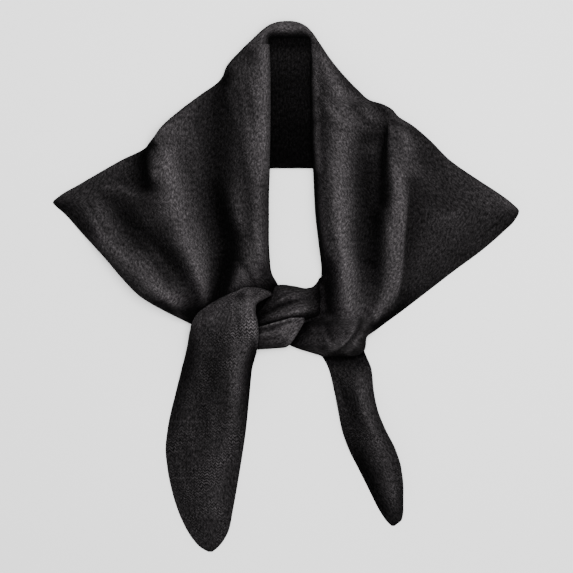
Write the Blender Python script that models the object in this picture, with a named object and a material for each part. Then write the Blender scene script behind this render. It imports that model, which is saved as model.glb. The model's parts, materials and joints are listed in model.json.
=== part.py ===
"""A knitted triangle scarf, laid flat face up and tied once in front.

Lengths in the tables are millimetres; the meshes are in metres. +X is to the
right, +Y is up towards the neck, +Z is up off the surface that the scarf lies on.

Each stretch of the cloth is a wall built from sections. A section runs straight
across the stretch, from one edge to the other, and its height follows the fold
lines that it crosses. A fold line is a short table: where it is along the
stretch, where it is across it, and how high the cloth stands there.
"""
import bisect
import math

import bmesh
import bpy
import numpy as np

MM = 0.001
CLOTH = 2.8           # thickness of the brushed knit
GAP = 0.3             # clearance between stretches that touch
LIFT = 1.2            # clearance where one curved stretch lies on another
MID_Y = 0.5           # the outline's own middle, so that the origin is centred
NECK_SEAM_Y = 243.0   # where the neck roll becomes the two fronts
LINE_SPACING = 1.0    # least distance between neighbouring fold lines
TURN_SHARE = 0.42     # most of a section's width that one turned-down edge takes
STEEPEST = 2.2        # most that the wall is deepened on a slope
THINNEST = 0.02       # where top and underside are nearer than this, they share their points
CREASE_ANGLE = 50.0   # degrees; edges sharper than this are shaded as edges

# ---------------------------------------------------------------- the fronts
# edges: (y, x, height of the cloth where it starts to turn down, turn radius)
# lines: (y, x, height)
FRONT_LEFT = {
    "low_edge": [
        (243, -40, 17, 8), (237, -46, 18, 8), (224, -58, 19, 8), (219, -61, 17, 8), (213, -63, 13, 7),
        (207, -67, 11, 7), (193, -86, 12, 7), (178, -106, 15, 8), (160, -126, 18, 8), (150, -133, 18, 8),
        (145, -137, 14, 7), (140, -141, 10, 7), (127, -166, 9.5, 7), (104, -206, 9.5, 7), (91, -228, 8, 6),
        (85, -234, 5, 4), (80, -230, 4, 3.4), (75, -224, 3.2, 3.4), (53, -204, 3.2, 3.4),
        (29, -182, 3.2, 3.4),
        (8, -164, 3.2, 3.4), (-10, -146, 3.4, 3.4), (-22, -126, 4, 3.6), (-37, -96, 6, 4)],
    "high_edge": [
        (243, -16, 19, 7), (207, -15, 22, 7), (187, -15, 24, 7), (119, -16, 26, 7), (87, -17, 26, 7),
        (47, -17, 26, 7), (27, -16, 24, 7), (17, -15, 22, 7), (11, -13, 20, 6), (6, -10, 17, 5),
        (2, -8, 13, 4), (-1, -7.5, 11, 4), (-5, -7.5, 10, 4), (-13, -10, 9, 4), (-22, -15, 9, 4),
        (-30, -32, 9, 4), (-37, -62, 8, 4)],
    "lines": {
        "ridge_d": [(97, -202, 10), (82, -200, 12), (65, -187, 17), (44, -168, 20), (22, -146, 21),
                    (4, -128, 20), (-16, -110, 17), (-32, -98, 12)],
        "trough_c": [(107, -178, 9.4), (92, -176, 9.2), (74, -168, 8), (57, -151, 7), (37, -128, 6),
                     (12, -108, 6), (-18, -92, 7), (-36, -91, 8)],
        "fold_b_foot": [(142, -142, 9.5), (127, -141, 9.2), (112, -140, 9.2), (97, -138, 11), (77, -134, 13),
                        (47, -118, 11), (17, -101, 9), (-13, -87, 9), (-36, -89, 8)],
        "fold_b_edge": [(142, -137, 14), (127, -136, 18), (112, -135, 19), (97, -131, 18), (77, -122, 18),
                        (47, -106, 18), (17, -93, 17), (-13, -82, 14), (-36, -86, 9)],
        "ridge_b": [(163, -123, 20), (137, -118, 26), (102, -110, 28), (72, -99, 27), (42, -89, 25),
                    (12, -82, 22), (-13, -76, 16), (-36, -84, 9)],
        "trough_a": [(207, -66, 11), (187, -69, 9.4), (117, -70, 9), (72, -65, 8), (42, -58, 6),
                     (27, -60, 5.5), (12, -63, 5.5), (-9, -68, 7), (-36, -82, 8)],
        "roll_side": [(243, -34, 19), (207, -42, 20), (187, -46, 20), (117, -46, 21), (47, -44, 20),
                      (27, -49, 17), (12, -55, 15), (-9, -62, 12), (-36, -80, 8)],
        "roll_crest": [(243, -27, 21), (187, -25, 26), (117, -26, 28), (47, -27, 27), (22, -27, 24),
                       (0, -28, 18), (-13, -38, 13), (-36, -78, 8)],
    },
}

FRONT_RIGHT = {
    "low_edge": [
        (243, 25, 14, 5), (227, 24.5, 16, 8), (207, 24, 18, 11), (147, 25, 20, 12), (119, 27, 20, 12),
        (77, 29, 20, 12), (57, 31, 20, 12), (37, 33.5, 20, 12), (17, 35.5, 21, 11), (7, 35, 22, 9),
        (2, 33, 22, 8), (-3, 33.5, 22, 8), (-25, 34, 22, 8), (-29, 31, 20, 7), (-32, 23, 17, 6),
        (-35, 14, 12, 5), (-39, 8, 10, 4), (-58, 4, 9, 4), (-62, 12, 10, 5), (-66, 25, 13, 6),
        (-70, 38, 13, 6)],
    "high_edge": [
        (243, 35, 14, 5), (237, 39, 15, 6), (227, 46, 17, 7), (207, 63, 18, 8), (197, 73, 18, 8),
        (187, 85, 17, 8), (184, 96, 15, 7), (179, 106, 15, 7), (171, 113, 15, 7), (163, 126, 15, 7),
        (148, 144, 12, 7), (128, 164, 10, 7), (107, 194, 9.5, 7), (94, 214, 9.5, 7), (85, 226, 9, 6),
        (76, 234, 6, 4), (66, 229, 4, 3.4), (57, 220, 3.4, 3.4), (37, 197, 3.2, 3.4), (17, 170, 3.2, 3.4),
        (-3, 144, 3.2, 3.4), (-23, 118, 3.4, 3.4), (-43, 91, 5, 4), (-51, 81, 8, 5), (-60, 80, 9, 6),
        (-66, 77, 9, 6), (-70, 68, 9, 6)],
    "lines": {
        "roll_face": [(243, 28, 16), (207, 36, 21), (157, 46, 25), (57, 49, 26), (17, 50, 26), (-13, 50, 26),
                      (-33, 48, 24), (-50, 40, 20), (-62, 36, 17), (-70, 43, 14)],
        "roll_crest": [(243, 30, 16), (207, 46, 24), (187, 54, 26), (157, 58, 28), (117, 60, 29),
                       (57, 61, 29),
                       (17, 62, 28), (-13, 62, 28), (-33, 63, 27), (-42, 61, 25), (-50, 57, 23),
                       (-59, 48, 20),
                       (-70, 45, 15)],
        "roll_edge": [(187, 66, 24), (157, 69, 26), (57, 70, 26), (17, 72, 25), (-13, 71, 24), (-33, 68, 24),
                      (-42, 66, 23), (-50, 62, 21), (-59, 54, 19), (-70, 47, 15)],
        "roll_foot": [(177, 94, 17), (157, 95, 17), (137, 86, 13), (107, 80, 10), (57, 80, 9.5), (17, 82, 10),
                      (-13, 80, 12), (-33, 74, 13), (-42, 70, 13), (-50, 66, 13), (-59, 59, 13),
                      (-70, 51, 13)],
        "trough_f": [(177, 101, 10), (157, 101, 9), (127, 97, 9), (102, 93, 8.8), (72, 91, 8), (37, 90, 7),
                     (7, 91, 8), (-13, 91, 10), (-33, 85, 12), (-50, 74, 13), (-70, 58, 12)],
        "ridge_g": [(179, 105, 14), (171, 110, 16), (157, 113, 18), (137, 115, 19), (107, 116, 20),
                    (77, 115, 20), (47, 113, 19), (17, 111, 18), (-3, 108, 17), (-18, 102, 15), (-35, 93, 11),
                    (-50, 79, 10)],
        "fold_g_foot": [(157, 118, 17), (137, 120, 18), (117, 120, 16), (107, 120, 14), (77, 119.5, 11),
                        (47, 117.5, 9), (17, 115.5, 8), (-3, 112.5, 7), (-18, 106.5, 7), (-31, 99, 6),
                        (-50, 80, 9)],
        "wing_swell": [(163, 124, 17), (147, 126, 19), (127, 127, 16), (107, 132, 12), (77, 136, 10.5),
                       (47, 134, 8.5), (17, 128, 7), (-3, 122, 6)],
        "wing": [(148, 144, 12), (127, 156, 11), (107, 166, 10.5), (77, 176, 10.2), (57, 172, 9),
                 (37, 160, 7),
                 (17, 144, 6)],
    },
    "first_end_radius": 8.0,
}

# ------------------------------------------------------------------ the tails
TAIL_LEFT = {
    "low_edge": [
        (0, -42, 19, 7), (-3, -48, 19, 8), (-6, -55, 20, 8), (-13, -70, 20, 8), (-18, -78, 19, 8),
        (-28, -90, 18, 8), (-38, -95, 16, 8), (-63, -100, 10, 7), (-83, -105, 6, 5), (-103, -110, 4, 4),
        (-143, -119, 3.6, 4), (-163, -121, 3.4, 4), (-183, -119, 3.4, 4), (-203, -115, 3.4, 4),
        (-223, -109, 3.4, 4), (-243, -100, 3.4, 4), (-255, -92, 3.4, 4), (-262, -85, 3.3, 3.4),
        (-266, -78, 3, 3)],
    "high_edge": [
        (0, -33, 19, 7), (-3, -23, 19, 6), (-6, -18, 18, 6), (-10, -23, 22, 6), (-14, -30, 27, 7),
        (-18, -32, 30, 7), (-28, -29, 31, 7), (-38, -27, 31, 7), (-48, -26, 28, 7), (-63, -29, 19, 7),
        (-83, -34, 10, 6), (-103, -36, 6, 5), (-143, -40, 4, 4), (-183, -46, 3.6, 4), (-223, -53, 3.4, 4),
        (-243, -57, 3.4, 4), (-255, -63, 3.4, 4), (-262, -69, 3.3, 3.4), (-266, -74, 3, 3)],
    "lines": {
        "left_swell": [(-6, -56, 21), (-25, -78, 22), (-40, -82, 19), (-60, -86, 14), (-80, -90, 10),
                       (-110, -96, 7), (-150, -104, 5.4), (-230, -96, 4)],
        "valley": [(-6, -50, 23), (-25, -64, 25), (-40, -67, 22), (-60, -71, 15), (-80, -75, 10),
                   (-110, -80, 6),
                   (-150, -86, 4.4), (-230, -86, 4)],
        "ridge": [(0, -38, 21), (-6, -42, 27), (-13, -46, 33), (-25, -44, 36), (-40, -42, 35), (-55, -43, 29),
                  (-70, -46, 21), (-90, -50, 13), (-130, -58, 8), (-180, -68, 6), (-230, -72, 5)],
    },
    "first_end_radius": 10.0,
    "last_end_radius": 7.0,
}

TAIL_RIGHT = {
    "low_edge": [
        (-58, 40, 5, 4), (-70, 37, 5, 4), (-76, 40, 6, 4), (-83, 43, 7, 5), (-103, 48, 8, 5),
        (-123, 52, 8, 5),
        (-143, 56, 8, 5), (-163, 63, 7, 5), (-183, 73, 6, 5), (-203, 83, 5, 4), (-223, 93, 4, 4),
        (-235, 101, 3.6, 4),
        (-240, 106, 3, 3)],
    "high_edge": [
        (-58, 76, 5, 4), (-70, 81, 5, 4), (-83, 86, 6, 4), (-103, 88, 7, 5), (-123, 92, 8, 5),
        (-143, 100, 8, 5),
        (-163, 110, 8, 5), (-183, 116, 7, 5), (-203, 118, 6, 4), (-223, 118, 5, 4), (-233, 116.5, 4, 4),
        (-240, 109, 3, 3)],
    "lines": {
        "hollow": [(-58, 52, 5), (-83, 56, 7), (-123, 62, 9), (-163, 76, 9), (-203, 93, 7), (-230, 103, 4)],
        "crest": [(-58, 66, 5.5), (-83, 74, 8), (-103, 76, 11), (-123, 79, 13), (-163, 95, 13),
                  (-203, 106, 10),
                  (-230, 110, 5)],
    },
    "first_end_radius": 8.0,
}

# ------------------------------------------------------- the bands of the knot
# these run across the scarf, so the first column is x and the second is y
BAND_UPPER = {
    "low_edge": [(-24.5, -38.8, 18, 3.4), (-21, -38, 19, 3.4), (-5, -33.6, 21, 3.4), (15, -29, 21, 4),
                 (31, -27.5, 18, 5), (48, -26, 12, 5)],
    "high_edge": [(-24.5, -22, 14, 5), (-20, -16, 17, 6), (-14, -9, 19, 7), (-8, -1.6, 20, 7),
                  (-5, 0.6, 20, 7),
                  (2, 1.5, 20, 7), (10, 0.8, 20, 7), (19, -1.5, 19, 7), (30, -1.5, 16, 6), (48, -5, 12, 5)],
    "lines": {
        "lower_rib": [(-24.5, -34, 20), (-5, -27, 24), (15, -23, 23), (31, -21, 20), (48, -20, 13)],
        "groove": [(-24.5, -30, 19.5), (-5, -19, 22.5), (15, -15, 22), (31, -15, 19), (48, -15, 13)],
        "upper_rib": [(-24.5, -27, 19), (-12, -15, 24), (-5, -10, 26), (10, -9, 25), (31, -10, 19),
                      (48, -11, 13)],
    },
}

BAND_LOWER = {
    "low_edge": [(-25, -62.5, 17, 7), (-10, -61.6, 18, 7), (-1, -60.8, 18, 7), (3, -58.5, 18, 7),
                 (8, -53.5, 18, 6), (12, -46, 17, 5), (14, -38, 15, 3.4)],
    "high_edge": [(-25, -37.5, 20, 3.4), (-21, -36.5, 20, 3.4), (-5, -32, 22, 3.4), (10, -29.5, 22, 3.4),
                  (14, -31, 16, 3.4)],
    "lines": {
        "bottom_rib": [(-25, -54, 22), (-10, -53, 23), (0, -52, 25), (10, -46, 21)],
        "top_rib": [(-25, -47, 21), (-10, -44, 22), (0, -43, 25), (10, -40, 23)],
    },
    "last_end_radius": 5.0,
}

# --------------------------------------------------------- the neck and the back
# the roll over the neck: (outer x, outer y, inner x, inner y, height)
NECK_ROLL = [
    (-40, 243, -16, 243, 21), (-31, 251.5, -15.8, 245.5, 21), (-24, 258, -15, 247.6, 20.5),
    (-15, 264, -12, 248.8, 20), (-5, 266.6, -4, 249, 20), (4, 267, 4, 249, 19.5), (13, 265.4, 12, 249, 18.5),
    (20, 262, 20, 248.8, 17.5), (27, 255, 24, 247.4, 16.5), (35, 243, 25, 243, 16)]

BACK_PLIES = 5.6      # the back and its turned-up point, one on the other
BACK_TURN = 3.2       # radius of its rounded edges
BACK_INSET = 11.0     # how far it stays inside the folds above it
BACK_TIP_X = 200.0    # how far it reaches under each wing
BACK_TOP_Y = 259.0    # its highest place, under the neck roll
BACK_FOLD = [(-200, 90.5), (-16, 119), (27, 119), (200, 79)]   # (x, y) of the fold that ends it
BACK_PLACES = [
    -200, -184, -166, -146, -128, -112, -98, -84, -70, -60, -46, -30, -14, 4, 14, 26, 36, 50, 66, 84, 102,
    122, 146, 170, 186, 200]

KNIT_COLOUR = {
    "back": (0.012, 0.012, 0.013), "neck_roll": (0.030, 0.030, 0.031),
    "front_left": (0.028, 0.028, 0.029), "front_right": (0.028, 0.028, 0.029),
    "band_upper": (0.030, 0.030, 0.031), "band_lower": (0.032, 0.032, 0.033),
    "tail_left": (0.026, 0.026, 0.027), "tail_right": (0.026, 0.026, 0.027)}
KNIT_ROUGHNESS = 0.95


def smooth(rows, column, at):
    """Value of a table's column at a place along it: a curve through the rows that never overshoots."""
    rows = sorted(rows)
    places = np.array([row[0] for row in rows], dtype=float)
    values = np.array([row[column] for row in rows], dtype=float)
    at = float(np.clip(at, places[0], places[-1]))
    steps = np.diff(places)
    slopes = np.diff(values) / steps
    tangents = np.zeros(len(places))
    tangents[0], tangents[-1] = slopes[0], slopes[-1]
    for i in range(1, len(places) - 1):
        if slopes[i - 1] * slopes[i] > 0.0:
            near, far = 2.0 * steps[i] + steps[i - 1], steps[i] + 2.0 * steps[i - 1]
            tangents[i] = (near + far) / (near / slopes[i - 1] + far / slopes[i])
    i = min(max(bisect.bisect_right(list(places), at) - 1, 0), len(steps) - 1)
    t = (at - places[i]) / steps[i]
    return float(values[i] * (1 + 2 * t) * (1 - t) ** 2 + values[i + 1] * t * t * (3 - 2 * t)
                 + steps[i] * (tangents[i] * t * (1 - t) ** 2 + tangents[i + 1] * t * t * (t - 1)))


def edge_lean(rows, at):
    """How much longer a level step in from an edge is than a square one, from the edge's direction."""
    reach, most = 1.5, 3.0
    slope = (smooth(rows, 1, at + reach) - smooth(rows, 1, at - reach)) / (2.0 * reach)
    return min(math.hypot(1.0, slope), most)


class Stretch:
    """One stretch of cloth, as sections across it.

    steps is the number of points between neighbouring fold lines, lies_on the stretches
    below this one, and lift the clearance that a stretch on top of this one keeps. What
    lies above looks this far around for it: spread to the sides, and skirt up the scarf.
    A filled stretch stands for several hidden layers: it is solid down to the surface.
    """

    def __init__(self, table, stations, steps=2, lies_on=(), along_x=False, lift=LIFT, spread=2.5, skirt=2.5,
                 filled=False):
        self.table = table
        self.stations = sorted(stations)
        self.steps = steps
        self.lies_on = lies_on
        self.along_x = along_x
        self.lift = lift
        self.looks = ((0.0, 0.0), (spread, 0.0), (-spread, 0.0), (0.0, skirt), (0.0, -spread))
        self.filled = filled
        self.known = {}

    def section(self, at):
        """Places across one section, each one's height and share of it, and its depth in from an edge."""
        low, high = self.table["low_edge"], self.table["high_edge"]
        start, end = smooth(low, 1, at), smooth(high, 1, at)
        width = end - start
        turn_low = min(smooth(low, 3, at) * edge_lean(low, at), TURN_SHARE * width)
        turn_high = min(smooth(high, 3, at) * edge_lean(high, at), TURN_SHARE * width)
        first, last = start + turn_low, end - turn_high
        shape = [(first, smooth(low, 2, at)), (last, smooth(high, 2, at))]
        lines = list(self.table["lines"].values())
        spacing = min(LINE_SPACING, (last - first) / (len(lines) + 2.0))
        places = [first]
        for number, line in enumerate(lines):
            place = smooth(line, 1, at)
            lowest = max(first + spacing * (number + 1), places[-1] + spacing)
            highest = last - spacing * (len(lines) - number)
            places.append(min(max(place, lowest), highest))
            if places[-1] == place:
                shape.append((place, smooth(line, 2, at)))
        places.append(last)
        across, tops, turned = [], [], []
        for depth, share in turn_steps(turn_low):
            across.append(start + depth)
            tops.append((smooth(low, 2, at), share))
            turned.append((depth, turn_low))
        for i in range(len(places) - 1):
            for k in range(1, self.steps + 1):
                place = places[i] + (places[i + 1] - places[i]) * k / self.steps
                across.append(place)
                tops.append((smooth(shape, 1, place), 1.0))
                turned.append((min(place - start, end - place), 0.0))
        for depth, share in reversed(turn_steps(turn_high)[:-1]):
            across.append(end - depth)
            tops.append((smooth(high, 2, at), share))
            turned.append((depth, turn_high))
        return across, tops, turned

    def grid(self):
        """Plan places, top heights and underside heights of every point of the wall."""
        floors, plan, top, under = [], [], [], []
        for at in self.stations:
            across, tops, turned = self.section(at)
            points = [(at, a) if self.along_x else (a, at) for a in across]
            floor = [self.floor(x, y) for x, y in points]
            end_share = self.end_share(at)
            row_top, row_under = [], []
            for (height, share), base, (depth, turn) in zip(tops, floor, turned):
                full = max(height, base + CLOTH)
                z = base + (full - base) * share * end_share
                row_top.append(z)
                inner = base
                if turn == 0.0 and not self.filled:
                    inner = z - CLOTH
                elif depth > CLOTH and not self.filled:
                    reach = min((turn - depth) / (turn - CLOTH), 1.0)
                    inner = base + (full - CLOTH - base) * end_share * math.sqrt(1.0 - reach * reach)
                row_under.append(min(max(inner, base), z))
            plan.append(points)
            top.append(row_top)
            under.append(row_under)
            floors.append(floor)
        plan, top, under = np.array(plan), np.array(top), np.array(under)
        if not self.filled:
            under = self.thicken(plan, top, under, np.array(floors))
        return plan, top, under

    def thicken(self, plan, top, under, floors):
        """Lower the underside on slopes, so that the wall is as thick there, square to it, as on the flat."""
        across, along = (1, 0) if self.along_x else (0, 1)
        least_step = 0.05
        steps_across = np.maximum(np.gradient(plan[:, :, across], axis=1), least_step)
        rise_across = np.gradient(top, axis=1) / steps_across
        rise_along = np.gradient(top, axis=0) / np.gradient(plan[:, :, along], axis=0)
        stretch = np.minimum(np.sqrt(1.0 + rise_across ** 2 + 0.5 * rise_along ** 2), STEEPEST)
        lowered = np.maximum(top - CLOTH * stretch, floors)
        inside = (top - under) > CLOTH - THINNEST
        edge_points = len(turn_steps(CLOTH))
        inside[:, :edge_points] = False
        inside[:, -edge_points:] = False
        return np.where(inside, np.minimum(under, lowered), under)

    def end_share(self, at):
        """Share of the full height near an end of the stretch that is rounded off."""
        share = 1.0
        for end, key in ((self.stations[0], "first_end_radius"), (self.stations[-1], "last_end_radius")):
            radius = self.table.get(key, 0.0)
            depth = abs(at - end)
            if depth < radius:
                share *= math.sqrt(max(1.0 - (1.0 - depth / radius) ** 2, 0.0))
        return share

    def floor(self, x, y):
        """Height of what the wall lies on at a place: another stretch, or the surface."""
        heights = [(below.height(x, y), below.lift) for below in self.lies_on]
        return max([0.0] + [height + lift for height, lift in heights if height > 0.0])

    def height(self, x, y):
        """Top of this stretch at a place, taken a little around it, or 0 beside it."""
        best = 0.0
        for dx, dy in self.looks:
            along, side = (x + dx, y + dy) if self.along_x else (y + dy, x + dx)
            if not self.stations[0] - 1.0 <= along <= self.stations[-1] + 1.0:
                continue
            across, tops = self.cached(round(float(np.clip(along, self.stations[0], self.stations[-1]))))
            if across[0] - 0.5 <= side <= across[-1] + 0.5:
                best = max(best, float(np.interp(side, across, tops)))
        return best

    def cached(self, along):
        """Places and top heights of the section at a place along, worked out once."""
        if along not in self.known:
            across, tops, _ = self.section(along)
            points = [(along, a) if self.along_x else (a, along) for a in across]
            heights = []
            for (height, share), (x, y) in zip(tops, points):
                base = self.floor(x, y)
                heights.append(base + (max(height, base + CLOTH) - base) * share * self.end_share(along))
            self.known[along] = (across, heights)
        return self.known[along]


def turn_steps(turn):
    """Depths in from an edge, with the share of the full height that a quarter round has there."""
    depths = [0.0, 0.12 * CLOTH, 0.45 * CLOTH, CLOTH, 0.5 * (CLOTH + turn), turn]
    if turn <= CLOTH * 1.05:
        depths = [turn * k for k in (0.0, 0.06, 0.2, 0.45, 0.75, 1.0)]
    return [(d, math.sqrt(max(1.0 - (1.0 - d / turn) ** 2, 0.0))) for d in depths]


def build_wall(name, plan, top, under):
    """A closed wall from two height grids over one plan; points where they meet are shared."""
    rows, columns = top.shape
    mesh = bmesh.new()
    upper, lower = {}, {}
    for i in range(rows):
        for j in range(columns):
            x, y = plan[i][j]
            upper[i, j] = mesh.verts.new((x * MM, (y - MID_Y) * MM, top[i][j] * MM))
            lower[i, j] = upper[i, j]
            if top[i][j] - under[i][j] > THINNEST:
                lower[i, j] = mesh.verts.new((x * MM, (y - MID_Y) * MM, under[i][j] * MM))

    def face(*corners):
        """Add a face, unless its corners fall together."""
        kept = list(dict.fromkeys(corners))
        if len(kept) > 2:
            mesh.faces.new(kept)

    for i in range(rows - 1):
        for j in range(columns - 1):
            a, b, c, d = (i, j), (i, j + 1), (i + 1, j + 1), (i + 1, j)
            for corners in ((a, b, c), (a, c, d)):
                if all(upper[k] is lower[k] for k in corners):
                    continue
                face(*(upper[k] for k in corners))
                face(*(lower[k] for k in reversed(corners)))
    rim = [(0, j) for j in range(columns)] + [(i, columns - 1) for i in range(1, rows)]
    rim += [(rows - 1, j) for j in range(columns - 2, -1, -1)] + [(i, 0) for i in range(rows - 2, -1, -1)]
    for a, b in zip(rim, rim[1:]):
        face(upper[b], upper[a], lower[a])
        face(upper[b], lower[a], lower[b])
    bmesh.ops.delete(mesh, geom=[v for v in mesh.verts if not v.link_faces], context="VERTS")
    bmesh.ops.recalc_face_normals(mesh, faces=mesh.faces)
    data = bpy.data.meshes.new(name)
    mesh.to_mesh(data)
    mesh.free()
    if data.polygons and signed_volume(data) < 0.0:
        data.flip_normals()
    data.shade_smooth()
    data.set_sharp_from_angle(angle=math.radians(CREASE_ANGLE))
    item = bpy.data.objects.new(name, data)
    bpy.context.scene.collection.objects.link(item)
    data.materials.append(knit_material(name))
    return item


def signed_volume(data):
    """Volume inside a closed mesh, negative where its faces point in."""
    total = 0.0
    for face in data.polygons:
        corners = [data.vertices[i].co for i in face.vertices]
        for k in range(1, len(corners) - 1):
            total += corners[0].dot(corners[k].cross(corners[k + 1])) / 6.0
    return total


def knit_material(name):
    """The dark brushed knit of one stretch."""
    material = bpy.data.materials.new(name + "_knit")
    material.use_nodes = True
    shader = material.node_tree.nodes["Principled BSDF"]
    shader.inputs["Base Color"].default_value = (*KNIT_COLOUR[name], 1.0)
    shader.inputs["Roughness"].default_value = KNIT_ROUGHNESS
    shader.inputs["Metallic"].default_value = 0.0
    return material


def stations(first, last, step, *extra):
    """Places of the sections along a stretch: evenly spaced, with a few more where its edge turns sharply."""
    count = max(int(round(abs(last - first) / step)), 1)
    places = [first + (last - first) * k / count for k in range(count + 1)]
    places = [p for p in places if all(abs(p - e) > 0.4 * step for e in extra) or p in (first, last)]
    return places + list(extra)


def back_table():
    """The hidden back: inside the folds above it, and down to its own fold below."""
    low = [(x, float(np.interp(x, *zip(*BACK_FOLD))), BACK_PLIES, BACK_TURN) for x in BACK_PLACES]
    high = [(x, inside_folds_y(x), BACK_PLIES, BACK_TURN) for x in BACK_PLACES]
    return {"low_edge": low, "high_edge": high, "lines": {}}


def inside_folds_y(x):
    """How high the back reaches at a place across, BACK_INSET inside the shoulder folds and the neck roll."""
    folds = [(smooth(FRONT_LEFT["low_edge"], 1, y), y) for y in range(85, 244, 2)]
    folds += [(smooth(FRONT_RIGHT["high_edge"], 1, y), y) for y in range(76, 244, 2)]
    folds += [(row[0], row[1]) for row in NECK_ROLL]
    near = [(fold_x - x, fold_y) for fold_x, fold_y in folds if abs(fold_x - x) < BACK_INSET]
    return min([BACK_TOP_Y] + [fold_y - math.sqrt(BACK_INSET ** 2 - side ** 2) for side, fold_y in near])


def build_neck_roll(back):
    """The roll over the neck: an arch of cloth carried round from one front to the other."""
    count = 26
    squareness = 2.2
    numbered = [(k / (len(NECK_ROLL) - 1.0), *row) for k, row in enumerate(NECK_ROLL)]
    shares = [0.0, 0.012, 0.05, 0.13, 0.24, 0.38, 0.5, 0.62, 0.76, 0.87, 0.95, 0.988, 1.0]
    plan, top, under = [], [], []
    for k in range(count + 1):
        at = k / count
        outer = np.array([smooth(numbered, 1, at), smooth(numbered, 2, at)])
        inner = np.array([smooth(numbered, 3, at), smooth(numbered, 4, at)])
        height = smooth(numbered, 5, at)
        hollow = 1.0 - 2.0 * CLOTH / float(np.linalg.norm(inner - outer))
        row_plan, row_top, row_under = [], [], []
        for share in shares:
            point = outer + (inner - outer) * share
            below = back.height(*point)
            base = below + GAP if below > 0.0 else 0.0
            half = abs(2.0 * share - 1.0)
            z = base + (height - base) * math.sqrt(max(1.0 - half ** squareness, 0.0))
            low = base
            if half < hollow:
                low = base + (height - CLOTH - base) * math.sqrt(1.0 - (half / hollow) ** squareness)
            row_plan.append(point)
            row_top.append(z)
            row_under.append(min(low, z))
        plan.append(row_plan)
        top.append(row_top)
        under.append(row_under)
    return build_wall("neck_roll", np.array(plan), np.array(top), np.array(under))


def main():
    for item in list(bpy.data.objects):
        bpy.data.objects.remove(item, do_unlink=True)
    back = Stretch(back_table(), BACK_PLACES, 3, along_x=True, lift=GAP, spread=4.0, skirt=9.0, filled=True)
    tail_right = Stretch(TAIL_RIGHT, stations(-58, -240, 14, -233, -237))
    front_left = Stretch(
        FRONT_LEFT, lies_on=[back],
        stations=stations(NECK_SEAM_Y - GAP, -37, 12, 237, 213, 145, 140, 120, 114, 91, 85, 80, -1))
    band_upper = Stretch(BAND_UPPER, stations(-24.5, 48, 8), lies_on=[front_left], along_x=True)
    front_right = Stretch(
        FRONT_RIGHT, lies_on=[back, band_upper, tail_right],
        stations=stations(NECK_SEAM_Y - GAP, -70, 12, 237, 187, 184, 179, 120, 114, 83, 76, 70, 3, 0, -3, -6,
                          -27, -30, -33, -37, -51, -58, -62, -66, -68.5))
    band_lower = Stretch(
        BAND_LOWER, stations(-25, 14, 7, 8, 12), lies_on=[front_right, band_upper], along_x=True)
    tail_left = Stretch(
        TAIL_LEFT, lies_on=[front_left],
        stations=stations(0, -266, 14, -2, -4, -7, -10, -14, -18, -23, -28, -33, -38, -43, -48, -262))
    parts = {"back": back, "tail_right": tail_right, "front_left": front_left, "band_upper": band_upper,
             "front_right": front_right, "band_lower": band_lower, "tail_left": tail_left}
    for name, part in parts.items():
        build_wall(name, *part.grid())
    build_neck_roll(back)


main()
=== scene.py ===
import json
import math

import bpy
import numpy as np
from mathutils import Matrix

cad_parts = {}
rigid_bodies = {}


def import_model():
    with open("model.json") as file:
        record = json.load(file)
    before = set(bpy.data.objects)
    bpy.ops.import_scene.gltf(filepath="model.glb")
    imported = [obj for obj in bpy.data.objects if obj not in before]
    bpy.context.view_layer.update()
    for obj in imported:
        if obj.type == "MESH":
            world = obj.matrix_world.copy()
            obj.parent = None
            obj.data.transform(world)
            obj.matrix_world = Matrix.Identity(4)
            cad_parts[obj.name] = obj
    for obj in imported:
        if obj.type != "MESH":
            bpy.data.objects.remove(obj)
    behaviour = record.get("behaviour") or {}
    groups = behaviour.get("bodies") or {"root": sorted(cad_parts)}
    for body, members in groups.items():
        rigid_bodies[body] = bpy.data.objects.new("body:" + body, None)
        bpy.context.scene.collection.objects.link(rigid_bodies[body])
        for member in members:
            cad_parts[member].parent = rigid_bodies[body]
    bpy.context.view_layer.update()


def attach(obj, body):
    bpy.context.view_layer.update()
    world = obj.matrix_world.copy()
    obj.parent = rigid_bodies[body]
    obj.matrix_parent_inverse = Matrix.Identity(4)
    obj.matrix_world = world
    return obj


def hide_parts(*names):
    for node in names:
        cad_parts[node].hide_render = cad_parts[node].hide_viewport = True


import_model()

for shown in bpy.context.scene.objects:
    shown.select_set(False)

MM = 0.001
CLOTH = 2.6            # thickness of the brushed knit
GAP = 0.3              # clearance between stretches that touch
MID_Y = 0.5            # the outline's own middle

# how finely the cloth is made
SPACING = 1.0          # distance between neighbouring points on the fronts' outer face
FINE_SPACING = 0.62    # the same on the tails and the bands, where the stitches are raised
UNDER_STEP = 4         # the inner face has every fourth point of the outer one
TURN_SHARE = 0.42      # most of a section's width that one turned-down edge takes
QUARTER = [0.0, 9.0, 19.0, 30.0, 42.0, 54.0, 66.0, 78.0, 90.0]   # degrees round a turned-down edge
END_DEPTHS = (0.1, 0.3)   # extra sections this far inside an end that is rounded off
GRID_HALF = 300        # half the side of the height grid, which has a cell for each millimetre
CHUNK = 8000           # places that are worked out at a time, to save memory

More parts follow.
